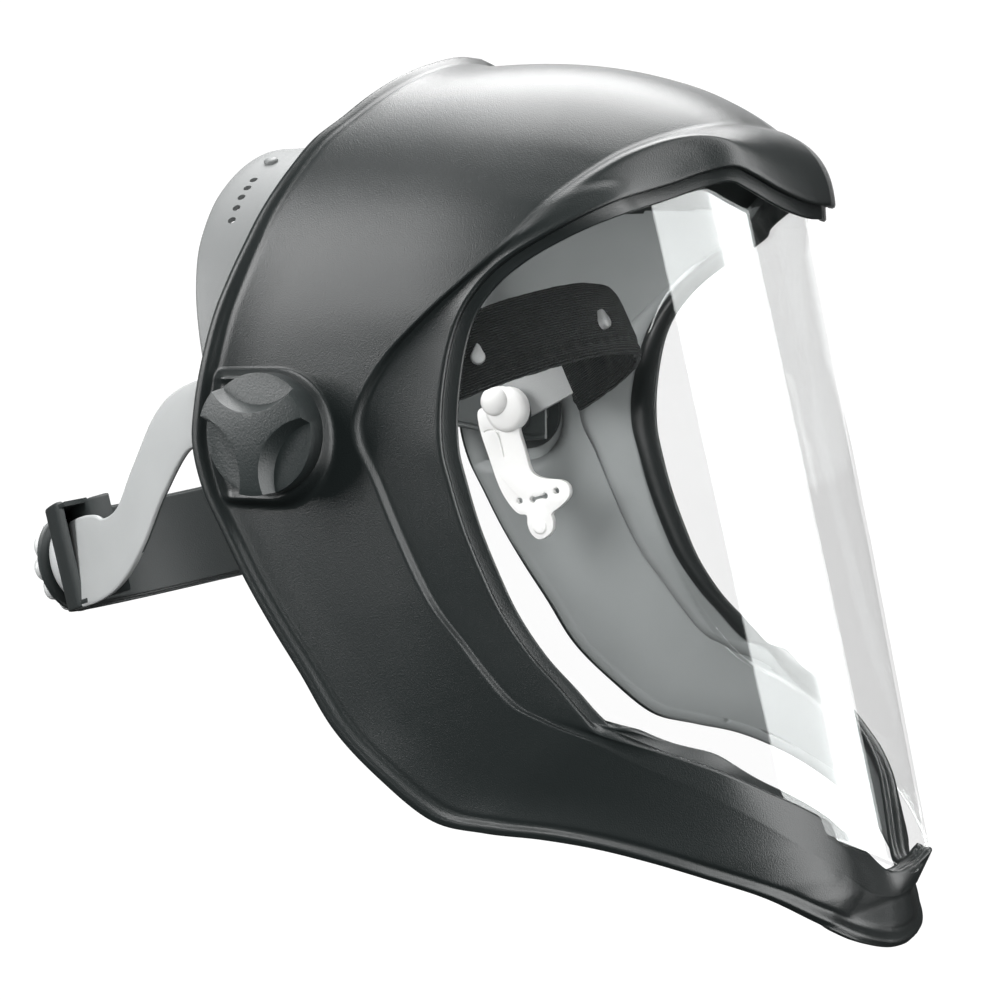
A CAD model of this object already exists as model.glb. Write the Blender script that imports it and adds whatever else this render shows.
from math import cos, pi, radians, sin

import bmesh
import bpy
import numpy as np
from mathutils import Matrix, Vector


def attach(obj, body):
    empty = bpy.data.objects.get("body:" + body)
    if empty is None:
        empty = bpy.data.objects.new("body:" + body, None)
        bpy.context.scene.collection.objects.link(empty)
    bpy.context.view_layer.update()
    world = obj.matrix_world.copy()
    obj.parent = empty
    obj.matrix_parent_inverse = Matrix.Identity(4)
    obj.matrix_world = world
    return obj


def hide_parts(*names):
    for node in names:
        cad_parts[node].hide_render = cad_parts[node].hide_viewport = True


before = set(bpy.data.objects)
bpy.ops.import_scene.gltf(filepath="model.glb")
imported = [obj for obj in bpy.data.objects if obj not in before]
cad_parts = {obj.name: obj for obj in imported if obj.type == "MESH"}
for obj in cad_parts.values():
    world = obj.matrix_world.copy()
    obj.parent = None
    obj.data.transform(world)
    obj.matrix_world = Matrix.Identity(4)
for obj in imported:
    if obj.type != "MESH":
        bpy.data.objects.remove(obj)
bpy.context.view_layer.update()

# Sizes are in millimetres and turn into metres where a mesh is made. A shell point is
# (out, forward, up): out is its distance from the middle plane, forward is -Y.
MM = 0.001
SHARP = 40                 # degrees between faces above which an edge of a small part stays sharp
SHARP_BEVEL = 42           # the same for bevelled parts
SPLINE_STEPS = 24          # points between two control points before a curve is resampled


# ---------------------------------------------------------------- mesh helpers
def make_mesh(name, points, faces, smooth=True):
    """A mesh object from points in millimetres."""
    mesh = bpy.data.meshes.new(name)
    mesh.from_pydata([tuple(p) for p in np.asarray(points) * MM], [], faces)
    mesh.validate()
    mesh.update()
    if smooth:
        mesh.polygons.foreach_set("use_smooth", [True] * len(mesh.polygons))
    return add_object(name, mesh)


def add_object(name, data):
    thing = bpy.data.objects.new(name, data)
    bpy.context.scene.collection.objects.link(thing)
    return thing


def grid_faces(rows, columns, close_rows=False, close_columns=False, flip=False):
    """Quads over a rows x columns lattice of points."""
    faces = []
    for i in range(rows if close_rows else rows - 1):
        for j in range(columns if close_columns else columns - 1):
            a, b = i * columns + j, i * columns + (j + 1) % columns
            c, d = (i + 1) % rows * columns + (j + 1) % columns, (i + 1) % rows * columns + j
            faces.append((a, d, c, b) if flip else (a, b, c, d))
    return faces


def capped_faces(rows, columns):
    """Quads over a tube of rows x columns points, with a flat face over each end."""
    first, last = range(columns), range((rows - 1) * columns, rows * columns)
    return grid_faces(rows, columns, close_columns=True) + [tuple(first), tuple(last)]


def closed_mesh(name, points, faces, sharp=None, smooth=True):
    """A mesh with its normals outwards; edges sharper than `sharp` degrees stay sharp."""
    piece = make_mesh(name, points, faces, smooth)
    work = bmesh.new()
    work.from_mesh(piece.data)
    bmesh.ops.recalc_face_normals(work, faces=work.faces)
    work.to_mesh(piece.data)
    work.free()
    if sharp:
        piece.data.set_sharp_from_angle(angle=radians(sharp))
    return piece


def apply_modifiers(piece):
    bpy.context.view_layer.update()
    result = bpy.data.meshes.new_from_object(piece.evaluated_get(bpy.context.evaluated_depsgraph_get()))
    piece.modifiers.clear()
    piece.data = result


def tilted(points, angle):
    """Points turned about the X axis, from a level drawing position to a leaning plane."""
    points = np.asarray(points, float).copy()
    y, z = points[:, 1].copy(), points[:, 2].copy()
    points[:, 1] = y * cos(angle) + z * sin(angle)
    points[:, 2] = z * cos(angle) - y * sin(angle)
    return points


def spline_through(points, count):
    """Catmull-Rom curve through points (any dimension), resampled to count points evenly along it."""
    points = np.asarray(points, float)
    ends = np.vstack([2 * points[0] - points[1], points, 2 * points[-1] - points[-2]])
    fine = []
    for k in range(1, len(ends) - 2):
        p0, p1, p2, p3 = ends[k - 1:k + 3]
        for t in np.linspace(0, 1, SPLINE_STEPS, endpoint=False):
            fine.append(0.5 * (2 * p1 + (p2 - p0) * t + (2 * p0 - 5 * p1 + 4 * p2 - p3) * t ** 2
                               + (3 * p1 - p0 - 3 * p2 + p3) * t ** 3))
    fine.append(points[-1])
    return resample(np.array(fine), count)


def resample(line, count):
    length = np.r_[0, np.cumsum(np.linalg.norm(np.diff(line, axis=0), axis=1))]
    marks = np.linspace(0, length[-1], count)
    return np.stack([np.interp(marks, length, line[:, k]) for k in range(line.shape[1])], 1)


def unit(vectors):
    return vectors / np.maximum(np.linalg.norm(vectors, axis=-1, keepdims=True), 1e-9)


def ease(x):
    x = np.clip(x, 0, 1)
    return x * x * (3 - 2 * x)


# ---------------------------------------------------------------- shell form
HALF_WIDTH = 97.5
SPRING = 20.0              # the dome springs from the upright side walls at this height
DOME_RISE = 105.2
DOME_START = 40.0          # the crown is level up to here and curves down in front of it
DOME_RUN = 117.5
DOME_DROP = 2.37
ROUND_START = 36.0         # in front of this the walls curve in towards the middle
VISOR_HALF = 91.0
VISOR_FRONT = 137.9        # how far forward the visor stands at VISOR_TOP
VISOR_TOP = 77.0
VISOR_LEAN = 0.2133
WALL_LEAD = 4.6            # the shell's front stands this far in front of the visor's line
ARC_LENGTH = 120.0         # length given to one radian of the rounded front
TURN_LENGTH = 90.0         # height given to one radian of the dome

DOME_POWER = 2.35          # squareness of the dome's cross-section, and how much it grows forwards
DOME_POWER_GAIN = 0.35
GAIN_START, GAIN_RUN = -30.0, 110.0

# Front line of the chin at the middle: height, and how far behind the wall's front line it lies.
CHIN = [(-190, -17.0), (-173, -16.8), (-168, -13.7), (-162, -12.6), (-156, -12.5), (-153, -9.8),
        (-148, -5.3), (-141, -1.7), (-132, 0.0), (-90, 0.0)]


def front_line(up):
    chin = np.array(CHIN)
    return VISOR_FRONT + VISOR_LEAN * (VISOR_TOP - up) + WALL_LEAD + np.interp(up, chin[:, 0], chin[:, 1])


def wall_point(along, up):
    angle = np.clip((along - ROUND_START) / ARC_LENGTH, 0, pi / 2)
    out = HALF_WIDTH * np.cos(angle)
    forward = np.minimum(along, ROUND_START) + (front_line(up) - ROUND_START) * np.sin(angle)
    return np.stack([out, forward, up + 0 * out], -1)


def dome_power(forward):
    return DOME_POWER + DOME_POWER_GAIN * np.clip((forward - GAIN_START) / GAIN_RUN, 0, 1)


def dome_point(forward, turn):
    """turn is 0 at the side walls and a right angle at the crown."""
    power = dome_power(forward)
    fall = 1 - (np.clip(forward - DOME_START, 0, None) / DOME_RUN) ** DOME_DROP
    scale = np.clip(fall, 1e-6, None) ** (1 / power)
    out = HALF_WIDTH * scale * np.clip(np.cos(turn), 0, 1) ** (2 / power)
    up = SPRING + DOME_RISE * scale * np.clip(np.sin(turn), 0, 1) ** (2 / power)
    return np.stack([out, forward + 0 * out, up], -1)


def to_sheet(point):
    """Where a point lies on the skin, as (along, height)."""
    out, forward, up = point
    if up >= SPRING:
        power = dome_power(forward)
        rise, spread = max(up - SPRING, 0) / DOME_RISE, max(out, 0) / HALF_WIDTH
        return forward, SPRING + TURN_LENGTH * np.arctan2(rise ** (power / 2), spread ** (power / 2))
    if forward <= ROUND_START:
        return forward, up
    reach = (forward - ROUND_START) / (front_line(up) - ROUND_START)
    return ROUND_START + ARC_LENGTH * np.arctan2(reach, max(out, 0) / HALF_WIDTH), up


def on_skin(along, height):
    dome = dome_point(along, np.clip((height - SPRING) / TURN_LENGTH, 0, pi / 2))
    wall = wall_point(along, np.minimum(height, SPRING))
    return np.where((height >= SPRING)[..., None], dome, wall)


# Stations round half of the shell, from the crown over the side to the chin: rim, crease, window lip,
# how much of a brim stands there, and how far the cheek is let in.
STATIONS = [
    ((0, 18, 130.5), (0, 129, 100.4), (0, 149.5, 75.5), 1, 0),
    ((16, 17.5, 129), (16, 128, 100), (11, 147.8, 75.3), 1, 0),
    ((32, 16, 125), (30, 125.5, 99.4), (22, 145, 76.6), 1, 0),
    ((48, 12.5, 119), (42, 121.5, 98), (33, 141.3, 79.3), 1, 0),
    ((60, 7, 111.5), (53, 115.5, 95.5), (43, 136.8, 82.8), 1, 0),
    ((69, 0.5, 103), (62, 108.5, 92.2), (50, 132, 85), 1, 0),
    ((76, -5.5, 96), (70, 101, 87.8), (55.5, 124, 83), .95, 0),
    ((82, -10.5, 87), (76, 94.5, 82.8), (62.5, 115.6, 79.2), .85, 0),
    ((86.5, -14.5, 79), (81.5, 88, 77.2), (70.5, 108.7, 76.2), .65, 0),
    ((90, -18.5, 70.5), (86.5, 81.5, 71), (79, 103, 73.2), .4, 0),
    ((93.3, -21.5, 62), (90.5, 74.5, 63), (87, 90.5, 66.3), .2, .1),
    ((96.4, -25, 52.5), (94, 65.5, 54), (92, 70.5, 54.6), 0, .6),
    ((99, -30, 39), (97, 49, 40), (94, 59.5, 43), 0, 1),
    ((100.5, -34, 24), (97.5, 32, 24), (94, 53, 29), 0, 1),
    ((101, -37, 9), (97.5, 22, 8.5), (94, 49.7, 11), 0, 1),
    ((101, -38, -5), (97.5, 21, -2), (94, 49.7, -4), 0, 1),
    ((101, -34, -20), (97.5, 27.5, -15), (93.4, 52.5, -16), 0, 1),
    ((101, -26.5, -34), (97.5, 34, -29), (92.8, 57, -30), 0, 1),
    ((101, -18, -49), (97.4, 41, -43), (92, 63, -44), 0, 1),
    ((101, -8, -64), (97.2, 48, -54.5), (91.2, 69.5, -56.5), 0, 1),
    ((101, 3, -79), (96.5, 57, -65), (90.6, 79, -69), 0, 1),
    ((101, 15, -96), (95.5, 66, -76), (90.2, 89, -79), 0, 1),
    ((101, 31, -110), (94.3, 74.5, -84.5), (90, 96.5, -87), 0, 1),
    ((100, 50, -122.5), (92.5, 84, -89), (89.3, 101.5, -92), 0, .8),
    ((98.5, 68, -125), (89.5, 99, -94.5), (86, 110, -95), 0, .2),
    ((95, 86, -125.9), (83.5, 114, -102), (80, 121, -98.8), 0, 0),
    ((89.5, 102, -128.4), (76, 129, -109), (74, 132, -103.2), 0, 0),
    ((83, 117.5, -132.5), (68.5, 142, -117), (68, 141, -107.5), 0, 0),
    ((74, 133.5, -138.4), (59, 154, -126), (59.5, 150, -113.3), 0, 0),
    ((63.5, 149, -145.2), (48.5, 163, -135), (50, 158, -119.2), 0, 0),
    ((51, 161.5, -154.5), (38, 169.5, -143), (39, 165, -126.5), 0, 0),
    ((38, 171.5, -163), (27, 173.5, -150), (28, 169.5, -134), 0, 0),
    ((23, 177.5, -168.6), (14, 177.5, -154), (13, 176, -146.5), 0, 0),
    ((11, 180.6, -170.6), (6, 179.5, -154.5), (6, 182, -146), 0, 0),
    ((0, 181.5, -171), (0, 182.5, -152), (0, 187.2, -141), 0, 0),
]
SHELL_LEAD = 3.3           # the shell and visor sit this far forward of where their points are written
ROUND_COUNT = 400          # points round half of the shell
SKIN_COUNT = 78            # points from the rim to the crease
BAND_COUNT = 34            # points from the crease to the lip
PIVOT_CROWDING = 2.2       # the points stand closer together beside the pivot
PIVOT_CROWDING_REACH = 26
WALL = 3.2
FLARE_REACH, FLARE_POWER = 24.0, 2.4   # the skin flares out to the rear rim
BRIM_LEAD, BRIM_TRAIL = (9, -1.5), (-1.5, 14)   # out and up handles of the brim's curve
CHIN_SEAT_LEVEL = -100.0   # below this the skin is softened and the visor's seat runs out
SEAT_START, SEAT_RUN = 6, 30
SOFTENING = 60             # rounds of averaging over the chin's outer skin
EVENING = 40               # rounds of averaging over the directions of the window's lip
DARK_ABOVE = 80.0          # the dome's inside is black above this height
CHEEK_DEPTH, CHEEK_WIDTH = 2.3, 3.2    # step down from the skin to the cheek
RIM_BEADS = [(1.1, 2.2, 1.7), (-0.5, 5.6, 1.3)]   # height, distance from the rim, width

# Raised seat round the pivot, which runs out to the rear rim.
BOSS_REACH = 19.4
BOSS_CENTRE = (-3.5, -2.2)
BOSS_TALL = 1.09
BOSS_RISE = 6.0
BOSS_FLANK = (1.6, 2.8)
BOSS_BEAD = 0.9
BOSS_BEAD_INSET = 1.6
BOSS_SIDE = 60             # the boss is only on skin at least this far out
BOSS_RUN_OUT = (4, 9)

# The window's lip, from the skin's edge to the inside, as (onward past the edge, depth behind the skin,
# whether it is part of the visor's seat), and the rolled rear rim, as (backward, depth).
LIP = [(0.7, 0.3, 0), (1.0, 1.0, 0), (0.7, 2.1, 0), (0.2, 2.6, 0), (0.3, 3.4, 0), (4.6, 3.7, 1),
       (5.1, 4.3, 1), (4.6, 5.4, 1), (-1.0, 5.6, 0), (-5.0, 4.6, 0)]
RIM_ROLL = [(-0.6, 2.9), (0.3, 2.3), (0.6, 1.2), (0.3, 0.2)]


def soften(line):
    """Rounds the kinks of a line of points; its ends stay where they are."""
    for _ in range(SOFTENING):
        middle = (line[:-2] + 2 * line[1:-1] + line[2:]) / 4
        line = np.concatenate([line[:1], middle, line[-1:]])
    return line


def shell_grid():
    """The shell's outer skin as [round, across] points, from the rim to the window lip."""
    table = np.array([np.r_[rim, crease, lip, brim, step] for rim, crease, lip, brim, step in STATIONS])
    table = spline_through(table, ROUND_COUNT * 4)
    steps = np.linalg.norm(np.diff(table[:, :9], axis=0), axis=1)
    level = (table[1:, 2] + table[:-1, 2]) / 2
    crowding = PIVOT_CROWDING * np.exp(-(level / PIVOT_CROWDING_REACH) ** 2)
    marks = np.r_[0, np.cumsum(steps * (1 + crowding))]
    places = np.linspace(0, marks[-1], ROUND_COUNT)
    table = np.stack([np.interp(places, marks, table[:, k]) for k in range(table.shape[1])], 1)
    rows = []
    for entry in table:
        rim, crease, lip, brim, step = entry[:3], entry[3:6], entry[6:9], entry[9], entry[10]
        start, end = np.array(to_sheet(rim)), np.array(to_sheet(crease))
        share = np.linspace(0, 1, SKIN_COUNT)[:, None]
        sheet = start + (end - start) * share
        skin = on_skin(sheet[:, 0], sheet[:, 1])
        skin = skin + share ** 2 * (crease - skin[-1])
        skin = soften(skin) if rim[2] < CHIN_SEAT_LEVEL else skin
        behind = np.linalg.norm(skin - skin[0], axis=1)[:, None]
        skin = skin + np.clip(1 - behind / FLARE_REACH, 0, 1) ** FLARE_POWER * (rim - skin[0])
        across = unit(crease * (1, 0.35, 0) + (0, 14, 0))
        lead = brim * (across * BRIM_LEAD[0] + (0, 0, BRIM_LEAD[1])) + (1 - brim) * (lip - crease) / 3
        trail = brim * (across * BRIM_TRAIL[0] + (0, 0, BRIM_TRAIL[1])) - (1 - brim) * (lip - crease) / 3
        t = np.linspace(0, 1, BAND_COUNT)[1:, None]
        band = ((1 - t) ** 3 * crease + 3 * (1 - t) ** 2 * t * (crease + lead)
                + 3 * (1 - t) * t ** 2 * (lip + trail) + t ** 3 * lip)
        rows.append(np.vstack([skin, band]))
    return np.array(rows), table


def mirror_round(rows):
    """Half a ring of rows, with its mirror image, as one closed ring. x is negative on the first half."""
    near, far = rows.copy(), rows[-2:0:-1].copy()
    near[..., 0] *= -1
    ring = np.concatenate([near, far])
    ring[..., 1] = -ring[..., 1] - SHELL_LEAD
    return ring


def boss_rise(points):
    """How far the skin stands out sideways at the knob's seat."""
    forward, up = -points[..., 1] - BOSS_CENTRE[0], (points[..., 2] - BOSS_CENTRE[1]) / BOSS_TALL
    reach = np.hypot(np.maximum(forward, 0), up)
    inside = BOSS_REACH - reach
    plateau = BOSS_RISE * ease((inside + BOSS_FLANK[0]) / BOSS_FLANK[1])
    bead = BOSS_BEAD * np.exp(-(inside - BOSS_BEAD_INSET) ** 2)
    return (plateau + bead) * (np.abs(points[..., 0]) > BOSS_SIDE)


def ring_normals(ring):
    """Outward normals of a closed ring of rows."""
    round_way = np.roll(ring, -1, 0) - np.roll(ring, 1, 0)
    across_way = np.gradient(ring, axis=1)
    return unit(np.cross(round_way, across_way))


def even_out(directions):
    """Unit vectors round a closed ring, each averaged with its neighbours."""
    directions = unit(directions)
    for _ in range(EVENING):
        directions = (np.roll(directions, 1, 0) + 2 * directions + np.roll(directions, -1, 0)) / 4
    return unit(directions)


def build_shell():
    """The whole moulding as one closed skin: outside, window lip, inside and rolled rear rim."""
    rows, table = shell_grid()
    ring = mirror_round(rows)
    normal = ring_normals(ring)
    probe = (len(ring) // 8, 30)
    if (normal[probe] * ring[probe]).sum() < 0:
        normal = -normal
    cheek = np.concatenate([table, table[-2:0:-1]])[:, 10][:, None]
    from_rim = np.cumsum(np.linalg.norm(np.diff(ring, axis=1, prepend=ring[:, :1]), axis=2), axis=1)
    past_crease = from_rim - from_rim[:, SKIN_COUNT - 1:SKIN_COUNT]
    band_share = np.clip(past_crease / np.maximum(past_crease[:, -1:], 1e-6), 0, 1)
    raised = -CHEEK_DEPTH * cheek * ease(past_crease / CHEEK_WIDTH) * (1 - band_share ** 2)
    for rise, distance, width in RIM_BEADS:
        raised = raised + rise * np.exp(-((from_rim - distance) / width) ** 2)
    outer = ring + normal * raised[..., None]
    run_out = ease((from_rim - BOSS_RUN_OUT[0]) / BOSS_RUN_OUT[1])
    outer[..., 0] += np.sign(outer[..., 0]) * boss_rise(outer) * run_out
    normal = ring_normals(outer) * np.sign((ring_normals(ring) * normal).sum(-1, keepdims=True))

    edge, edge_normal = outer[:, -1], even_out(normal[:, -1])
    onward = even_out(outer[:, -1] - outer[:, -3])
    seat = np.clip((np.abs(edge[:, 0]) - SEAT_START) / SEAT_RUN, 0.1, 1)
    seat = np.where(edge[:, 2] < CHIN_SEAT_LEVEL, seat, 1)[:, None]
    lip = [edge + onward * reach * (seat if on_seat else 1) - edge_normal * depth
           for reach, depth, on_seat in LIP]
    inner = outer[:, -8::-2] - normal[:, -8::-2] * WALL
    back = unit(outer[:, 0] - outer[:, 2])
    rim_roll = [outer[:, 0] + back * reach - normal[:, 0] * depth for reach, depth in RIM_ROLL]
    section = np.concatenate([outer, np.stack(lip, 1), inner, np.stack(rim_roll, 1)], axis=1)
    count = section.shape[1]
    faces = grid_faces(len(section), count, close_rows=True, close_columns=True)
    piece = closed_mesh("shell_skin", section.reshape(-1, 3), faces)
    piece.data.materials.append(SHELL_BLACK)
    piece.data.materials.append(SHELL_INSIDE)
    first_inner = outer.shape[1] + len(lip)
    for number, face in enumerate(piece.data.polygons):
        inside = first_inner <= number % count < first_inner + inner.shape[1] - 2
        face.material_index = int(inside and face.center.z < DARK_ABOVE * MM)
    return piece


# ---------------------------------------------------------------- visor
VISOR_THICKNESS = 1.2
VISOR_RINGS = 60
VISOR_EDGE_COUNT = 120
VISOR_MIDDLE = (pi / 2, -30.0)   # angle and height that the rings shrink to
VISOR_DEPTH = 115.0        # half-axis of the visor's curve from front to back
VISOR_EDGE = [(0, 181, -144.5), (12, 178, -146), (26, 175, -139.5), (42, 169, -131), (58, 157, -121),
              (72, 141, -111), (83, 121, -102), (91, 96, -94), (93, 74, -74), (93, 60, -52), (93, 50, -26),
              (93, 45, 0), (93, 47, 24), (93, 56, 46), (92, 72, 60), (84, 95, 70), (74, 112, 82),
              (60, 124, 88), (40, 132, 88), (20, 136, 86), (0, 136.5, 85)]


def visor_point(angle, up):
    """A point on the bent visor. angle is 0 at the side and a right angle at the front."""
    front = VISOR_FRONT + VISOR_LEAN * (VISOR_TOP - up)
    out = VISOR_HALF * np.cos(angle)
    forward = ROUND_START + (front - ROUND_START) * np.sin(angle)
    return np.stack([out, forward, up + 0 * out], -1)


def build_visor():
    """Rings from the outline in to the middle, in the visor's own flat coordinates."""
    flat = []
    for out, forward, up in VISOR_EDGE:
        front = VISOR_FRONT + VISOR_LEAN * (VISOR_TOP - up)
        flat.append((np.arctan2((forward - ROUND_START) / (front - ROUND_START), out / VISOR_HALF), up))
    # an angle counts a hundred times over, so that it weighs about as much as a height
    half = spline_through([(angle * 100, up) for angle, up in flat], VISOR_EDGE_COUNT) / (100, 1)
    outline = np.vstack([half, np.stack([pi - half[-2:0:-1, 0], half[-2:0:-1, 1]], 1)])
    middle = np.array(VISOR_MIDDLE)
    sheets = []
    for inset in (0.0, VISOR_THICKNESS):
        rows = []
        for k in range(VISOR_RINGS):
            spot = middle + (outline - middle) * (1 - k / VISOR_RINGS)
            point = visor_point(spot[:, 0], spot[:, 1])
            if inset:
                inward = point * (1, 1, 0) - (0, ROUND_START, 0)
                point = point - unit(inward * (1 / VISOR_HALF ** 2, 1 / VISOR_DEPTH ** 2, 0)) * inset
            rows.append(point)
        sheets.append(np.array(rows))
    count = sheets[0].shape[1]
    points, faces = [], []
    face_grid = grid_faces(VISOR_RINGS, count, close_columns=True)
    for sheet in sheets:
        base = len(points)
        points += [(-p[0], -p[1] - SHELL_LEAD, p[2]) for p in sheet.reshape(-1, 3)]
        points.append((0, -sheet[-1, :, 1].mean() - 0.3 - SHELL_LEAD, middle[1]))
        faces += [tuple(base + i for i in face) for face in face_grid]
        last = base + (VISOR_RINGS - 1) * count
        faces += [(last + j, last + (j + 1) % count, base + VISOR_RINGS * count) for j in range(count)]
    other = VISOR_RINGS * count + 1
    faces += [(j, (j + 1) % count, other + (j + 1) % count, other + j) for j in range(count)]
    return closed_mesh("visor_sheet", points, faces)


# ---------------------------------------------------------------- pivot knobs
KNOB_BASE = 107.5          # distances along the tilt axis from the middle of the head
KNOB_FLOOR = 115.6
KNOB_FACE = 122.3
KNOB_RADIUS = 19.4
SCOOP_RADIUS = 20.9        # radius of a scoop at the knob's face
SCOOP_FOOT = 18.4          # radius of a scoop at its floor
SCOOP_AWAY = 27.7          # the scoops' centres lie this far from the axis
SCOOP_ANGLES = (90, 210, 330)
SCOOP_CUT = 9.0            # height of the scoops' cutters
KNOB_FOOT = [(12.0, 0.0), (0.5, 0.0), (0.0, 0.8)]   # inset from the knob's radius, and height above its base
KNOB_SIDES = 128
KNOB_RINGS = 8
KNOB_CROWN = 1.9           # the face falls away by this much towards its edge
KNOB_EDGE = 0.45


def turn_about_tilt_axis(name, profile, sides):
    """A solid turned about the tilt axis from (radius, distance from the middle of the head) pairs."""
    turn = np.linspace(0, 2 * pi, sides, endpoint=False)
    points = [(level, -radius * cos(a), radius * sin(a)) for radius, level in profile for a in turn]
    return closed_mesh(name, points, capped_faces(len(profile), sides))


def build_knob(name, hand):
    """A round knob with three scoops cut into its domed face, which leave a three-armed grip."""
    profile = [(KNOB_RADIUS - inset, KNOB_BASE + up) for inset, up in KNOB_FOOT]
    for k in range(KNOB_RINGS, 0, -1):
        share = k / KNOB_RINGS
        profile.append((KNOB_RADIUS * share, KNOB_FACE - KNOB_CROWN * share ** 2))
    knob = turn_about_tilt_axis(name, profile, KNOB_SIDES)
    slope = (SCOOP_RADIUS - SCOOP_FOOT) / (KNOB_FACE - KNOB_FLOOR)
    ends = [(SCOOP_FOOT, KNOB_FLOOR), (SCOOP_FOOT + slope * SCOOP_CUT, KNOB_FLOOR + SCOOP_CUT)]
    cutters = []
    for angle in SCOOP_ANGLES:
        cutters.append(turn_about_tilt_axis("cutter", ends, KNOB_SIDES))
        away = SCOOP_AWAY * MM
        cutters[-1].location = (0, -away * cos(radians(angle)), away * sin(radians(angle)))
    cut_holes(knob, cutters)
    bevel_edges(knob, KNOB_EDGE, segments=3, angle=35)
    if hand < 0:
        mirror_across(knob)
    return knob


# ---------------------------------------------------------------- bands
# A strap's cross-section: place over its half width, over its half thickness, and how much of its rib
# stands there.
BAND_SECTION = [(-1, -0.5, 0), (-1, 0.5, 0), (-0.97, 0.9, 0), (-0.93, 1, 0), (-0.6, 1, 0), (-0.2, 1, 0),
                (0.2, 1, 0), (0.6, 1, 0), (0.93, 1, 0), (0.97, 0.9, 0), (1, 0.5, 0), (1, -0.5, 0),
                (0.97, -1, 0.8), (0.92, -1, 1), (0.87, -1, 0.8), (0.84, -1, 0), (0.6, -1, 0), (0.2, -1, 0),
                (-0.2, -1, 0), (-0.6, -1, 0), (-0.76, -1, 0), (-0.79, -1, 0.6), (-0.82, -1, 0),
                (-0.87, -1, 0.8), (-0.92, -1, 1), (-0.97, -1, 0.8)]


def build_band(name, spine, across, thickness, ribs=0.0):
    """A strap along spine. across holds half-width vectors; ribs is how far its edges stand inwards."""
    spine, across = np.asarray(spine, float), np.asarray(across, float)
    out = unit(np.cross(unit(np.gradient(spine, axis=0)), across))
    if (out[len(out) // 2] * spine[len(out) // 2]).sum() < 0:
        out = -out
    half = thickness / 2
    points = np.stack([spine + across * u + out * (half * v - ribs * rib) for u, v, rib in BAND_SECTION], 1)
    return closed_mesh(name, points.reshape(-1, 3), capped_faces(*points.shape[:2]), SHARP)


def split_faces(piece, outside, inside, away_from):
    """Gives the faces that look towards a point the inside material, the others the outside one."""
    piece.data.materials.append(outside)
    piece.data.materials.append(inside)
    for face in piece.data.polygons:
        outward = face.center / MM - Vector(away_from)
        face.material_index = int(face.normal.dot(outward.normalized()) < -0.25)


def cut_holes(piece, cutters):
    """Cuts the cutters, which are then dropped, out of a piece."""
    for cutter in cutters:
        change = piece.modifiers.new("hole", "BOOLEAN")
        change.operation = "DIFFERENCE"
        change.solver = "EXACT"
        change.object = cutter
    apply_modifiers(piece)
    for cutter in cutters:
        bpy.data.objects.remove(cutter)


def drum(name, centre, axis, radius, half_length, sides=20):
    """A short many-sided rod, for cutting holes and for rivets."""
    axis = Vector(axis).normalized()
    side = axis.orthogonal().normalized()
    other = axis.cross(side)
    points = []
    for end in (-1, 1):
        for k in range(sides):
            a = 2 * pi * k / sides
            rim = (side * cos(a) + other * sin(a)) * radius
            points.append(Vector(centre) + axis * half_length * end + rim)
    faces = [(k, (k + 1) % sides, sides + (k + 1) % sides, sides + k) for k in range(sides)]
    faces += [tuple(range(sides))[::-1], tuple(range(sides, 2 * sides))]
    return closed_mesh(name, [tuple(p) for p in points], faces, smooth=False)


# Rings of a stud head: share of its radius and of its height.
BUTTON_RINGS = [(1.0, -0.6), (1.0, 0.35), (0.93, 0.7), (0.75, 0.9), (0.4, 1.0), (0.08, 1.05)]


def button(name, centre, axis, radius, height, drop=0.0, sides=28):
    """A domed stud head; drop stretches its upper side into a teardrop."""
    axis = Vector(axis).normalized()
    up = (Vector((0, 0, 1)) - axis * axis.z).normalized()
    side = up.cross(axis)
    points = []
    for share, level in BUTTON_RINGS:
        for k in range(sides):
            a = 2 * pi * k / sides
            stretch = 1 + drop * max(sin(a), 0) ** 6
            spot = (side * cos(a) + up * sin(a) * stretch) * radius * share
            points.append(Vector(centre) + spot + axis * height * level)
    faces = capped_faces(len(BUTTON_RINGS), sides)
    return closed_mesh(name, [tuple(p) for p in points], faces, SHARP)


def join(name, pieces):
    """One object from several; the first one's name is replaced."""
    work = bmesh.new()
    for piece in pieces:
        work.from_mesh(piece.data)
    mesh = bpy.data.meshes.new(name)
    work.to_mesh(mesh)
    work.free()
    for piece in pieces:
        bpy.data.objects.remove(piece)
    return add_object(name, mesh)


# ---------------------------------------------------------------- rear straps
NAPE_HALF = 84.0
NAPE_DEEP = 159.0
NAPE_LEAN = radians(15)
NAPE_THICK, NAPE_RIBS = 1.9, 0.7
NAPE_END = 6               # a rear strap ends this far from the middle plane
NAPE_STAND_OFF = 2.2       # the right strap lies this far outside the left one
NAPE_MIDDLE = (0, 40, -30)  # a point between the rear straps
# forward, up and half width along the middle of a rear strap, from the hub to the size adjuster
NAPE_RUN = [(12, 2, 12.5), (0, 2, 13), (-24, 5.5, 12), (-40, 5.5, 11.2), (-55, -0.5, 10), (-69, -19, 9.2),
            (-81, -37, 9.8), (-94, -47, 13), (-109, -51, 16.3), (-147, -60.5, 16.5), (-185, -70, 16.5)]


def nape_out(forward, up):
    """Half width of the head in the leaning plane of the nape."""
    behind = -forward * cos(NAPE_LEAN) - up * sin(NAPE_LEAN)
    return NAPE_HALF * np.sqrt(np.clip(1 - (np.maximum(behind, 0) / NAPE_DEEP) ** 2, 0, 1))


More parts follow.
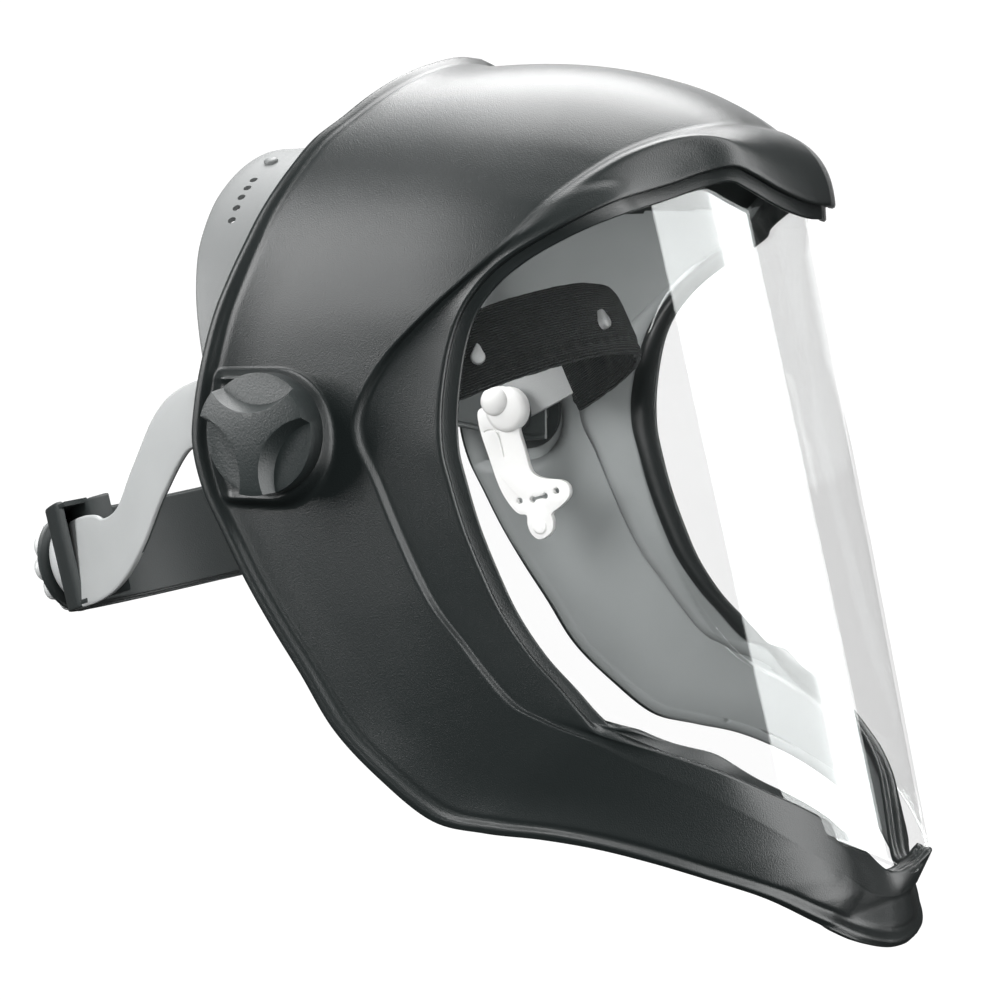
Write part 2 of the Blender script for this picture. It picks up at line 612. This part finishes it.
def build_nape_strap(name, hand, stand_off):
    """A rear strap, fitted round the head's leaning outline from its hub to the size adjuster."""
    path = spline_through(NAPE_RUN, 400)
    out = nape_out(path[:, 0], path[:, 1])
    path, out = path[out > NAPE_END], out[out > NAPE_END]
    spine = np.stack([hand * (out + stand_off), -path[:, 0], path[:, 1]], 1)
    dense = resample(np.column_stack([spine, path[:, 2:3]]), 110)
    # the width stands across the strap and leans with the head
    along = unit(np.gradient(dense[:, :3], axis=0))
    face = unit(np.stack([dense[:, 0] / NAPE_HALF ** 2, dense[:, 1] / NAPE_DEEP ** 2, 0 * dense[:, 0]], 1))
    width = unit(np.cross(along, face))
    width *= np.sign(width[:, 2:3])
    return build_band(name, dense[:, :3], width * dense[:, 3:4], NAPE_THICK, NAPE_RIBS)


# ---------------------------------------------------------------- crown straps
CROWN_HALF = 85.0
CROWN_HEIGHT = 98.5
CROWN_WIDE = 13.5          # half width of a crown strap
CROWN_THICK = 1.9
CROWN_ROUNDS = 6           # rounds of averaging over a crown strap's line
CROWN_BACK = 3.0           # the holes and pin lie this far behind the strap's line
# height on the head, and how far the crown strap lies forward there
CROWN_LEAN = [(-10, -14.0), (8, -21.0), (26, -27.5), (49, -35.0), (63, -39.0), (80, -41.5), (100, -41.5)]
CROWN_HOLE_RADIUS = 1.5
CROWN_HOLES = (-60.5, -56.5, -52.5, -48.5, -44.5)
CROWN_PIN = -33.0
CROWN_STAND_OFF = 2.1      # the outer strap lies this far outside the inner one


def crown_point(turn, stand_off=0.0):
    """turn runs from one side of the head over the top to the other."""
    x, z = (CROWN_HALF + stand_off) * sin(turn), (CROWN_HEIGHT + stand_off) * cos(turn)
    lean = np.array(CROWN_LEAN)
    return np.array([x, -np.interp(z, lean[:, 0], lean[:, 1]), z])


def crown_place(x, stand_off):
    """A point near the middle of a crown strap, and the way the strap faces there."""
    z = CROWN_HEIGHT * (1 - (x / CROWN_HALF) ** 2) ** 0.5
    spot = crown_point(np.arctan2(x / CROWN_HALF, z / CROWN_HEIGHT), stand_off) + (0, CROWN_BACK, 0)
    return spot, Vector((x / CROWN_HALF ** 2, 0, z / CROWN_HEIGHT ** 2)).normalized()


def build_crown_strap(name, start, end, stand_off):
    """A strap over the head, from one angle to another, with a round tongue at its end."""
    turns = np.linspace(radians(start), radians(end), 90)
    spine = np.array([crown_point(t, stand_off) for t in turns])
    for _ in range(CROWN_ROUNDS):
        spine[1:-1] = (spine[:-2] + 2 * spine[1:-1] + spine[2:]) / 4
    along = unit(np.gradient(spine, axis=0))
    width = unit(np.cross(along, np.stack([np.sin(turns), 0 * turns, np.cos(turns)], 1)))
    left = np.linalg.norm(spine - spine[-1], axis=1)
    half = CROWN_WIDE * np.sqrt(np.clip(1 - np.clip(1 - left / CROWN_WIDE, 0, 0.985) ** 2, 0.02, 1))
    return build_band(name, spine, width * half[:, None], CROWN_THICK)


# ---------------------------------------------------------------- size adjuster
ADJUSTER_AXIS_DROP = -17.0   # height of the knob's axis in the leaning plane of the nape
ADJUSTER_HALF = 54.0       # half length of the housing
ADJUSTER_DEEP = 160.0      # distance of the strap channel behind the tilt axis
ADJUSTER_RAIL = 18.4       # height of the rails above and below the housing's middle
ADJUSTER_EDGE = 0.56
RAIL_HALF, RAIL_THICK = 4.6, 1.8
TURNED_SIDES = 200
LOBES_FROM, LOBES_FADE = 9.0, 5.0   # lobes grow outwards from this radius
# (radius, distance behind the tilt axis) along the sections of the dome, the knob's ring and its grip
DOME_PROFILE = [(4.0, 160.0), (19.0, 160.0), (19.0, 164.5), (18.2, 167.6), (16.6, 170.4), (14.4, 171.9),
                (4.0, 172.0)]
RING_PROFILE = [(4.0, 172.2), (18.8, 172.2), (19.7, 172.6), (20.0, 173.2), (19.7, 173.9), (18.8, 174.2),
                (4.0, 174.3)]
GRIP_PROFILE = [(3.0, 174.1), (14.8, 174.1), (15.8, 174.5), (16.0, 175.6), (15.6, 176.8), (14.6, 177.5),
                (11.0, 177.7), (10.2, 177.1), (3.0, 176.8)]


def build_plate(name, inside, outside, half_height):
    """A curved plate of the adjuster's housing."""
    columns, layers = 61, 33
    x, z = np.meshgrid(np.linspace(-ADJUSTER_HALF, ADJUSTER_HALF, columns),
                       np.linspace(-half_height, half_height, layers))
    sides = []
    for reach in (outside, inside):
        y = reach * np.sqrt(np.clip(1 - (x / (NAPE_HALF + reach - ADJUSTER_DEEP)) ** 2, 0, 1))
        sides.append(np.stack([x, y, z + ADJUSTER_AXIS_DROP], -1).reshape(-1, 3))
    base = columns * layers
    faces = grid_faces(layers, columns)
    faces += [tuple(base + i for i in face) for face in grid_faces(layers, columns, flip=True)]
    last = base - columns
    edge = [*range(columns - 1), *range(columns - 1, base - 1, columns), *range(base - 1, last, -1),
            *range(last, 0, -columns)]
    faces += [(a, b, base + b, base + a) for a, b in zip(edge, edge[1:] + edge[:1])]
    piece = closed_mesh(name, tilted(np.concatenate(sides), NAPE_LEAN), faces)
    bevel_edges(piece, ADJUSTER_EDGE)
    return piece


def build_rails(name):
    """The housing's upper and lower rails, which close the strap channel."""
    rails = []
    x = np.linspace(-ADJUSTER_HALF, ADJUSTER_HALF, 60)
    y = ADJUSTER_DEEP * np.sqrt(1 - (x / NAPE_HALF) ** 2)
    across = unit(np.stack([x / NAPE_HALF ** 2, y / ADJUSTER_DEEP ** 2, 0 * x], 1)) * RAIL_HALF
    for level in (-ADJUSTER_RAIL, ADJUSTER_RAIL):
        spine = np.stack([x, y, 0 * x + level + ADJUSTER_AXIS_DROP], 1)
        rails.append(build_band("rail", tilted(spine, NAPE_LEAN), tilted(across, NAPE_LEAN), RAIL_THICK))
    return join(name, rails)


def build_turned(name, profile, lobes=0, swell=0.0):
    """A part turned about the size adjuster's axis from (radius, distance) pairs, with optional lobes."""
    turn = np.linspace(0, 2 * pi, TURNED_SIDES, endpoint=False)
    shape = swell * np.abs(np.cos(lobes * turn / 2)) ** 0.8 if lobes else 0 * turn
    points = []
    for radius, level in profile:
        out = radius + shape * np.clip((radius - LOBES_FROM) / LOBES_FADE, 0, 1)
        height = out * np.sin(turn) + ADJUSTER_AXIS_DROP
        points.append(np.stack([out * np.cos(turn), 0 * turn + level, height], 1))
    points = tilted(np.concatenate(points), NAPE_LEAN)
    return closed_mesh(name, points, capped_faces(len(profile), TURNED_SIDES), SHARP)


def bevel_edges(piece, width, segments=2, angle=50):
    """Rounds the sharp edges of a piece and keeps flat faces flat."""
    change = piece.modifiers.new("round", "BEVEL")
    change.width = width * MM
    change.segments = segments
    change.limit_method = "ANGLE"
    change.angle_limit = radians(angle)
    apply_modifiers(piece)
    piece.data.polygons.foreach_set("use_smooth", [True] * len(piece.data.polygons))
    piece.data.set_sharp_from_angle(angle=radians(SHARP_BEVEL))


def extrude_outline(name, outline, start, end):
    """A flat part across the tilt axis: (forward, up) points between two distances from the middle."""
    work = bmesh.new()
    ring = [work.verts.new((start * MM, -f * MM, z * MM)) for f, z in outline]
    face = work.faces.new(ring)
    for vert in bmesh.ops.extrude_face_region(work, geom=[face])["geom"]:
        if isinstance(vert, bmesh.types.BMVert):
            vert.co.x = end * MM
    bmesh.ops.recalc_face_normals(work, faces=work.faces)
    mesh = bpy.data.meshes.new(name)
    work.to_mesh(mesh)
    work.free()
    return add_object(name, mesh)


# ---------------------------------------------------------------- tilt arms
ARM_INNER, ARM_OUTER = 72.6, 75.6
ARM_OUTLINE = [(-8.2, 3.2), (-12.6, 1.6), (-13.4, -1.5), (-11.8, -8.5), (-8.6, -17), (-4.6, -27.5),
               (-1.5, -33.5), (2.6, -38.6), (5.6, -40.6), (8.6, -40.9), (9.0, -44.6), (10.6, -48.2),
               (13.6, -50.4), (17.0, -49.6), (19.8, -46.6), (20.2, -42.8), (19.6, -39.6), (22.6, -37.4),
               (26.6, -33.6), (27.6, -30.4), (26.4, -27.6), (23.4, -26.2), (17.0, -25.8), (12.6, -24.6),
               (10.0, -21.8), (7.2, -13.0), (5.0, -6.0), (4.6, 1.5)]
ARM_HOLES = [(5.5, -35.2), (11.3, -34.4), (16.6, -32.8), (21.6, -30.6)]
ARM_HOLE_RADIUS = 1.35
ARM_SLOT = [(11.2, -34.9), (16.8, -33.3), (16.6, -32.2), (11.0, -33.8)]
ARM_SLIT = [(-10.4, -7.6), (-7.6, -6.6), (-4.9, -7.4), (-3.4, -10.0), (-1.4, -17.6)]
SLIT_HALF, SLIT_FLOOR = 0.32, 73.6
CUT_START, CUT_MIDDLE, CUT_END = 70, 74, 78   # where the cutters stand across the arm
ARM_EDGE = 0.55
# studs on an arm: name, depth into its inner face, Y, Z, radius and height
ARM_STUDS = [("hub", 0.6, 0.3, 1.8, 9.2, 3.6), ("pad", 0.4, 4.6, 5.0, 6.2, 5.4),
             ("stop", 0.2, -14.6, -45.4, 3.0, 0.9)]


def build_arm(name, hand):
    """A flat arm with holes, a slot and a slit, and three studs on its inner face."""
    outline = spline_through(ARM_OUTLINE + ARM_OUTLINE[:1], 150)[:-1]
    plate = extrude_outline(name, outline, ARM_INNER, ARM_OUTER)
    cutters = [drum("cutter", (CUT_MIDDLE, -f, z), (1, 0, 0), ARM_HOLE_RADIUS, 6) for f, z in ARM_HOLES]
    cutters.append(extrude_outline("cutter", ARM_SLOT, CUT_START, CUT_END))
    slit = spline_through(ARM_SLIT, 16)
    side = unit(np.gradient(slit, axis=0))[:, ::-1] * (1, -1) * SLIT_HALF
    slit = np.vstack([slit + side, (slit - side)[::-1]])
    cutters.append(extrude_outline("cutter", slit, CUT_START, SLIT_FLOOR))
    cut_holes(plate, cutters)
    bevel_edges(plate, ARM_EDGE)
    studs = [button(stud, (ARM_INNER + inset, y, z), (-1, 0, 0), radius, height)
             for stud, inset, y, z, radius, height in ARM_STUDS]
    arm = join(name + "_body", [plate] + studs)
    if hand < 0:
        mirror_across(arm)
    arm.data.set_sharp_from_angle(angle=radians(SHARP))
    return arm


def mirror_across(piece):
    for vert in piece.data.vertices:
        vert.co.x *= -1
    piece.data.flip_normals()


# ---------------------------------------------------------------- lobed discs
DISC_LOBE = 1.5
DISC_POINTS = 192
# radius, distance from the middle of the head, and whether the lobes stand there
DISC_PROFILE = [(0.4, 83.7, 0), (5.0, 83.6, 0), (7.6, 83.8, 0), (8.0, 84.4, 0), (8.4, 84.0, 0),
                (8.9, 84.1, 1), (9.5, 85.0, 1), (9.6, 89.6, 1), (8.9, 90.4, 1), (0.4, 90.4, 0)]
DISC_FACE = (7.9, 86)      # the grey face: its radius, and its furthest distance from the middle


def build_disc(name, hand):
    """A disc with eight lobes round the pivot, black with a grey face."""
    turn = np.linspace(0, 2 * pi, DISC_POINTS, endpoint=False)
    lobes = DISC_LOBE * np.abs(np.cos(4 * turn)) ** 1.4
    points = [(hand * x, -(radius + lobe * lobed) * cos(a), (radius + lobe * lobed) * sin(a))
              for radius, x, lobed in DISC_PROFILE for lobe, a in zip(lobes, turn)]
    disc = closed_mesh(name, points, capped_faces(len(DISC_PROFILE), DISC_POINTS), SHARP)
    disc.data.materials.append(HOUSING_BLACK)
    disc.data.materials.append(DISC_GREY)
    for face in disc.data.polygons:
        x, y, z = face.center / MM
        face.material_index = int(np.hypot(y, z) < DISC_FACE[0] and abs(x) < DISC_FACE[1])
    return disc


# ---------------------------------------------------------------- brow band and sweatband
BROW_TILT = radians(26)
BROW_HALF, BROW_DEEP = 80.2, 81.5      # middle of the sweatband's thickness
SWEAT_TOP, SWEAT_BOTTOM = 17.6, -13.6
SWEAT_HALF_THICK = 3.4
SWEAT_REAR = 27.0
SWEAT_ROWS, SWEAT_SIDES = 120, 28
SWEAT_GROWTH = 0.8         # the pad starts smaller by this much, because the cloth step swells it
SEAM_HEIGHT = -7.2
SEAM_PULL, SEAM_WIDTH = 1.1, 1.1
SEAM_WAVE = 0.35
STRIP_MIDDLE, STRIP_HALF, STRIP_THICK = 3.0, 8.5, 2.0   # plastic strip inside the sleeve
STRIP_LIFT = 1.2           # its ends rise by this much
PEG_OUT, PEG_HEIGHT = 3.2, -1.0
PEGS = (-48.0, -8.0, 48.0)


def build_sweatband():
    """The padded sleeve: a flattened tube round the brow, swollen as cloth, then sewn and tilted."""
    end = np.arcsin(SWEAT_REAR / BROW_DEEP)
    turns = np.linspace(end, pi - end, SWEAT_ROWS)
    mid, half = (SWEAT_TOP + SWEAT_BOTTOM) / 2, (SWEAT_TOP - SWEAT_BOTTOM) / 2 - SWEAT_GROWTH
    profile = []
    for k in range(SWEAT_SIDES):
        a = 2 * pi * k / SWEAT_SIDES
        profile.append((SWEAT_HALF_THICK * 0.75 * np.sign(cos(a)) * abs(cos(a)) ** 0.6,
                        mid + half * np.sign(sin(a)) * abs(sin(a)) ** 0.45))
    points = [((BROW_HALF + off) * cos(t), -(BROW_DEEP + off) * sin(t), z)
              for t in turns for off, z in profile]
    pad = closed_mesh("sweatband_pad", points, capped_faces(SWEAT_ROWS, SWEAT_SIDES))
    inflate(pad, voxel=3.0, pressure=3.0, limit=2.2)
    shape_seams(pad)
    for vert, spot in zip(pad.data.vertices, tilted([v.co / MM for v in pad.data.vertices], BROW_TILT)):
        vert.co = Vector(spot) * MM
    pad.data.polygons.foreach_set("use_smooth", [True] * len(pad.data.polygons))
    return pad


def inflate(piece, voxel, pressure, limit):
    """Remeshes a closed shape, blows it up as cloth and keeps the result, with one subdivision."""
    scene = bpy.context.scene
    remesh = piece.modifiers.new("remesh", "REMESH")
    remesh.mode = "VOXEL"
    remesh.voxel_size = voxel * MM
    apply_modifiers(piece)
    start = [v.co.copy() for v in piece.data.vertices]
    cloth = piece.modifiers.new("cloth", "CLOTH")
    cloth.settings.use_pressure = True
    cloth.settings.uniform_pressure_force = pressure
    cloth.settings.effector_weights.gravity = 0
    cloth.settings.tension_stiffness = 12
    cloth.settings.compression_stiffness = 12
    for step in range(1, 21):
        scene.frame_set(step)
    done = bpy.data.meshes.new_from_object(piece.evaluated_get(bpy.context.evaluated_depsgraph_get()))
    piece.modifiers.clear()
    scene.frame_set(1)
    piece.data = done
    for vert, first in zip(piece.data.vertices, start):
        move = vert.co - first
        if move.length > limit * MM:
            vert.co = first + move.normalized() * limit * MM
    piece.modifiers.new("divide", "SUBSURF").levels = 1
    apply_modifiers(piece)


def shape_seams(pad):
    """Pulls the sewn line along the sleeve's lower side in, and puckers it a little."""
    for vert in pad.data.vertices:
        x, y, z = vert.co / MM
        turn = np.arctan2(-y / BROW_DEEP, x / BROW_HALF)
        off = np.hypot(x / BROW_HALF, y / BROW_DEEP) - 1
        pull = SEAM_PULL * np.exp(-((z - SEAM_HEIGHT) / SEAM_WIDTH) ** 2) * (1 + 0.25 * sin(70 * turn))
        wave = SEAM_WAVE * sin(9 * turn + 1.3) * sin(z / 6)
        if off > 0:
            vert.co.x -= (pull + wave) * MM * cos(turn)
            vert.co.y += (pull + wave) * MM * sin(turn)


def build_brow_strip():
    """The plastic band that the sleeve covers; its ends show behind the sleeve."""
    turns = np.linspace(radians(-4), pi + radians(4), 160)
    level = STRIP_MIDDLE + STRIP_LIFT * np.cos(turns) ** 8
    spine = np.stack([BROW_HALF * np.cos(turns), -BROW_DEEP * np.sin(turns), level], 1)
    across = np.full((len(turns), 3), (0, 0, STRIP_HALF))
    return build_band("brow_strip", tilted(spine, BROW_TILT), tilted(across, BROW_TILT), STRIP_THICK)


def peg_places():
    for degrees in PEGS:
        t = radians(degrees)
        spot = ((BROW_HALF + PEG_OUT) * sin(t), -(BROW_DEEP + PEG_OUT) * cos(t), PEG_HEIGHT)
        out = (sin(t) / BROW_HALF, -cos(t) / BROW_DEEP, 0)
        yield tilted([spot], BROW_TILT)[0], tilted([out], BROW_TILT)[0]


# ---------------------------------------------------------------- materials
MOTTLING = 0.08            # how far a plastic's colour wanders either way
GLOSS_SPREAD = 0.15        # how far its roughness wanders either way
GRAIN_DEPTH = 0.0002


def set_inputs(tree, node, inputs):
    """Sets a node's inputs, each to a constant or to another node's output."""
    for socket, value in inputs.items():
        if isinstance(value, bpy.types.NodeSocket):
            tree.links.new(value, node.inputs[socket])
        else:
            node.inputs[socket].default_value = value


def add_node(tree, kind, output, inputs, **settings):
    """One output of a new shader node."""
    node = tree.nodes.new("ShaderNode" + kind)
    for setting, value in settings.items():
        setattr(node, setting, value)
    set_inputs(tree, node, inputs)
    return node.outputs[output]


def calculate(tree, operation, *values):
    return add_node(tree, "Math", 0, dict(enumerate(values)), operation=operation)


def noise(tree, where, scale, detail=2.0):
    return add_node(tree, "TexNoise", "Fac", {"Vector": where, "Scale": scale, "Detail": detail})


def tone(tree, share, colour, low, high):
    """A colour that runs between two strengths of itself."""
    ends = [tuple(min(c * strength, 1) for c in colour) + (1,) for strength in (low, high)]
    return add_node(tree, "Mix", "Result", {"A": ends[0], "B": ends[1], "Factor": share}, data_type="RGBA")


def bump(tree, height, strength, distance):
    return add_node(tree, "Bump", "Normal", {"Strength": strength, "Distance": distance, "Height": height})


def new_material(name):
    """A material, its node tree, its shader and the object's own coordinates."""
    material = bpy.data.materials.new(name)
    material.use_nodes = True
    tree = material.node_tree
    return material, tree, tree.nodes["Principled BSDF"], add_node(tree, "TexCoord", "Object", {})


def plastic(name, colour, roughness, grain=0.25, grain_size=1900.0):
    """Moulded plastic: an even colour with a spark-textured surface and slightly uneven gloss."""
    material, tree, shader, where = new_material(name)
    fine = noise(tree, where, grain_size)
    low, high = roughness * (1 - GLOSS_SPREAD), roughness * (1 + GLOSS_SPREAD)
    set_inputs(tree, shader, {
        "Base Color": tone(tree, noise(tree, where, 45.0, 4.0), colour, 1 - MOTTLING, 1 + MOTTLING),
        "Roughness": add_node(tree, "MapRange", "Result", {"Value": fine, "To Min": low, "To Max": high}),
        "Normal": bump(tree, fine, grain, GRAIN_DEPTH),
    })
    return material


def clear_plastic(name):
    """Clear polycarbonate sheet: see-through, with a mirror-like gloss that grows towards its edges."""
    material, tree, shader, where = new_material(name)
    gloss = add_node(tree, "Fresnel", 0, {"IOR": 1.58})
    veil = calculate(tree, "MINIMUM", calculate(tree, "MULTIPLY_ADD", gloss, 0.9, 0.005), 0.046)
    set_inputs(tree, shader, {
        "Metallic": 1.0, "Base Color": (0.93, 0.96, 0.955, 1), "Roughness": 0.03,
        "Alpha": calculate(tree, "MULTIPLY_ADD", gloss, 0.14, veil),
        "Normal": bump(tree, noise(tree, where, 9.0), 0.15, 0.0015),
    })
    return material


def knit(name, colour, pitch):
    """Ribbed black knit: fine rows along the band, loops across them and a soft fuzz."""
    material, tree, shader, where = new_material(name)
    turn = add_node(tree, "Mapping", "Vector", {"Vector": where, "Rotation": (BROW_TILT, 0, 0)})
    rows = add_node(tree, "TexWave", "Fac", {"Vector": turn, "Scale": 0.314 / (pitch * MM), "Distortion": 1.6,
                                             "Detail": 3.0, "Detail Scale": 2.5}, bands_direction="Z")
    loops = add_node(tree, "TexVoronoi", "Distance", {"Vector": turn, "Scale": 1.0 / (0.9 * MM)})
    fuzz = calculate(tree, "MULTIPLY", rows, noise(tree, turn, 160.0, 6.0))
    set_inputs(tree, shader, {
        "Roughness": 0.95, "Specular IOR Level": 0.2, "Sheen Weight": 0.12, "Sheen Roughness": 0.5,
        "Sheen Tint": (0.6, 0.65, 0.65, 1), "Base Color": tone(tree, fuzz, colour, 0.35, 2.2),
        "Normal": bump(tree, calculate(tree, "MULTIPLY_ADD", loops, 0.45, rows), 0.9, 0.0006),
    })
    return material


SHELL_BLACK = plastic("shell_plastic", (0.008, 0.0105, 0.0105), 0.36, grain=0.45, grain_size=2300)
SHELL_INSIDE = plastic("shell_inside", (0.24, 0.255, 0.255), 0.55, grain=0.05, grain_size=2600)
VISOR_CLEAR = clear_plastic("visor_plastic")
KNOB_BLACK = plastic("knob_plastic", (0.014, 0.018, 0.018), 0.42, grain=0.5, grain_size=1500)
ARM_WHITE = plastic("arm_plastic", (0.86, 0.86, 0.85), 0.42, grain=0.08)
STRAP_GREY = plastic("strap_plastic", (0.33, 0.34, 0.34), 0.48, grain=0.12)
DISC_GREY = plastic("disc_plastic", (0.16, 0.165, 0.165), 0.5, grain=0.15)
HOUSING_BLACK = plastic("housing_plastic", (0.02, 0.024, 0.024), 0.5, grain=0.3)
METAL = plastic("screw_metal", (0.35, 0.33, 0.30), 0.35, grain=0.05)
CROWN_GREY = plastic("crown_plastic", (0.115, 0.12, 0.12), 0.5, grain=0.12)
STRAP_DARK = plastic("strap_inside", (0.045, 0.052, 0.052), 0.5, grain=0.15)
COVER_GREY = plastic("cover_plastic", (0.42, 0.43, 0.43), 0.42, grain=0.1)
KNIT = knit("knit_black", (0.008, 0.0095, 0.0095), 0.85)

LOOKS = {
    HOUSING_BLACK: ("pivot_screw", "friction_washer", "ratchet_base", "ratchet_cover", "ratchet_grip",
                    "ratchet_knob"),
    STRAP_GREY: ("brow_band", "nape_strap", "crown_strap", "crown_rivets", "ratchet_pinion", "click_pawl"),
    KNOB_BLACK: ("pivot_knob",), METAL: ("knob_insert",), DISC_GREY: ("lobed_disc",),
    ARM_WHITE: ("tilt_arm",), KNIT: ("sweatband",), SHELL_BLACK: ("shell",), VISOR_CLEAR: ("visor",),
}


def paint(piece, material):
    piece.data.materials.clear()
    piece.data.materials.append(material)


def place(piece, material, body, slot, *nodes):
    """Paints a piece, rides it on a body, hides the nodes that it stands for and names its finish."""
    if material:
        paint(piece, material)
    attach(piece, body)
    if nodes:
        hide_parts(*nodes)


# ---------------------------------------------------------------- pieces
# The CAD nodes get a material each; most are then hidden behind the piece that stands for them.
for node_name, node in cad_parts.items():
    for material, starts in LOOKS.items():
        if node_name.startswith(starts):
            paint(node, material)

place(build_shell(), None, "shield", "shell_black", "shell")

for hand, side in ((1, "left"), (-1, "right")):
    knob = build_knob(f"knob_{side}_grip", hand)
    place(knob, KNOB_BLACK, f"pivot_knob_{side}", "knob_black", f"pivot_knob_{side}")
    arm = build_arm(f"arm_{side}", hand)
    place(arm, ARM_WHITE, f"tilt_arm_{side}", "arm_white", f"tilt_arm_{side}")
    disc = build_disc(f"disc_{side}_lobed", hand)
    place(disc, None, "headgear", "disc_grey", f"lobed_disc_{side}")
    strap = build_nape_strap(f"rear_strap_{side}", hand, 0.0 if hand > 0 else NAPE_STAND_OFF)
    split_faces(strap, STRAP_GREY, STRAP_DARK, NAPE_MIDDLE)
    place(strap, None, "headgear", "strap_grey", f"nape_strap_{side}")

inner_crown = build_crown_strap("crown_inner_band", 88, -38, 0.0)
place(inner_crown, CROWN_GREY, "headgear", "strap_grey", "crown_strap_left")
outer_crown = build_crown_strap("crown_outer_band", -88, 8, CROWN_STAND_OFF)
cutters = [drum("cutter", *crown_place(x, CROWN_STAND_OFF), CROWN_HOLE_RADIUS, 4) for x in CROWN_HOLES]
cut_holes(outer_crown, cutters)
place(outer_crown, CROWN_GREY, "headgear", "strap_grey", "crown_strap_right")
rivets = [button("rivet", (hand * 86.5, 25.0, 11.5), (hand, 0, 0), 4.4, 2.0) for hand in (-1, 1)]
rivets.append(button("rivet", *crown_place(CROWN_PIN, 3.0), 2.6, 1.6))
rivets = join("crown_rivet_heads", rivets)
rivets.data.set_sharp_from_angle(angle=radians(SHARP))
place(rivets, CROWN_GREY, "headgear", "strap_grey", "crown_rivets")

base = build_plate("adjuster_base", 152.0, 156.6, 18.6)
base = join("adjuster_base_shell", [base, build_rails("adjuster_rails")])
base.data.set_sharp_from_angle(angle=radians(SHARP_BEVEL))
place(base, HOUSING_BLACK, "headgear", "housing_black", "ratchet_base")
cover = build_plate("adjuster_cover", 163.4, 165.6, 20.2)
place(build_turned("adjuster_dome", DOME_PROFILE), COVER_GREY, "headgear", "strap_grey")
place(cover, HOUSING_BLACK, "headgear", "housing_black", "ratchet_cover")
ring = build_turned("ratchet_ring_disc", RING_PROFILE)
place(ring, HOUSING_BLACK, "ratchet_knob", "housing_black", "ratchet_knob")
grip = build_turned("ratchet_grip_lobes", GRIP_PROFILE, lobes=10, swell=3.4)
place(grip, COVER_GREY, "ratchet_knob", "gear_nylon", "ratchet_grip")

sweat = build_sweatband()
place(sweat, KNIT, "headgear", "knit_black", "sweatband")
place(build_brow_strip(), STRAP_GREY, "headgear", "strap_grey", "brow_band")
for number, (spot, out) in enumerate(peg_places()):
    peg = button(f"sweatband_peg_{number}", spot, out, 2.5, 2.0, drop=0.9)
    place(peg, STRAP_GREY, "headgear", "strap_grey")

place(build_visor(), VISOR_CLEAR, "shield", "visor_clear", "visor")


# ---------------------------------------------------------------- stage, lights and camera
FLOOR_LEVEL = -420.0
FLOOR_REACH = 9000.0
WHITE = 1.08               # floor and surroundings, as the camera sees them


def make_stage():
    """A bright paper floor that runs into a bright studio."""
    corners = [(x, y, FLOOR_LEVEL) for x, y in ((-1, -1), (1, -1), (1, 1), (-1, 1))]
    corners = [(x * FLOOR_REACH, y * FLOOR_REACH, z) for x, y, z in corners]
    floor = make_mesh("floor", corners, [(0, 1, 2, 3)], smooth=False)
    paper = bpy.data.materials.new("floor_paper")
    paper.use_nodes = True
    set_inputs(paper.node_tree, paper.node_tree.nodes["Principled BSDF"], {
        "Base Color": (0, 0, 0, 1), "Specular IOR Level": 0.0, "Roughness": 0.9,
        "Emission Color": (1, 1, 1, 1), "Emission Strength": WHITE,
    })
    paint(floor, paper)
    floor.visible_glossy = False
    floor.visible_diffuse = False


def make_studio():
    """White surroundings as the camera sees them, dimmer where they light the object."""
    world = bpy.data.worlds.new("studio")
    bpy.context.scene.world = world
    world.use_nodes = True
    tree = world.node_tree
    dim = tree.nodes["Background"]
    set_inputs(tree, dim, {"Color": (0.98, 1.0, 1.0, 1), "Strength": 0.05})
    white = add_node(tree, "Background", 0, {"Color": (1, 1, 1, 1), "Strength": WHITE})
    ray = add_node(tree, "LightPath", "Is Camera Ray", {})
    seen = add_node(tree, "MixShader", 0, {0: ray, 1: dim.outputs[0], 2: white})
    set_inputs(tree, tree.nodes["World Output"], {"Surface": seen})


def softbox(name, towards, distance, width, height, radiance, diffuse=True, glossy=True):
    """A soft rectangular light in one direction from the object, aimed back at it."""
    direction = Vector(towards).normalized()
    data = bpy.data.lights.new(name, "AREA")
    data.shape = "RECTANGLE"
    data.size, data.size_y = width, height
    data.energy = radiance * pi * width * height
    lamp = add_object(name, data)
    lamp.location = direction * distance
    lamp.rotation_euler = direction.to_track_quat("Z", "Y").to_euler()
    lamp.visible_camera = False
    lamp.visible_diffuse = diffuse
    lamp.visible_glossy = glossy


make_stage()
make_studio()
softbox("window_front", (-0.028, -1.0, 0.15), 1.5, 1.3, 2.2, 6.0, diffuse=False)
softbox("overhead", (0.25, 0.05, 0.95), 1.5, 1.4, 1.9, 9.5)
softbox("sky_far", (0.92, 0.36, 0.15), 1.8, 1.4, 0.9, 1.8)
softbox("side_rear", (-0.69, 0.62, 0.37), 1.5, 0.95, 1.05, 9.0)
softbox("fill_near", (-0.80, -0.55, 0.15), 1.6, 1.2, 1.2, 7.0, glossy=False)
bpy.context.scene.view_settings.view_transform = "Standard"

camera_data = bpy.data.cameras.new("camera")
camera_data.sensor_width = 36
camera_data.lens = 69.48
camera = add_object("camera", camera_data)
camera.location = (-0.6371, -0.3277, 0.02925)
camera.rotation_euler = (radians(85.3), 0, radians(-65))
bpy.context.scene.camera = camera
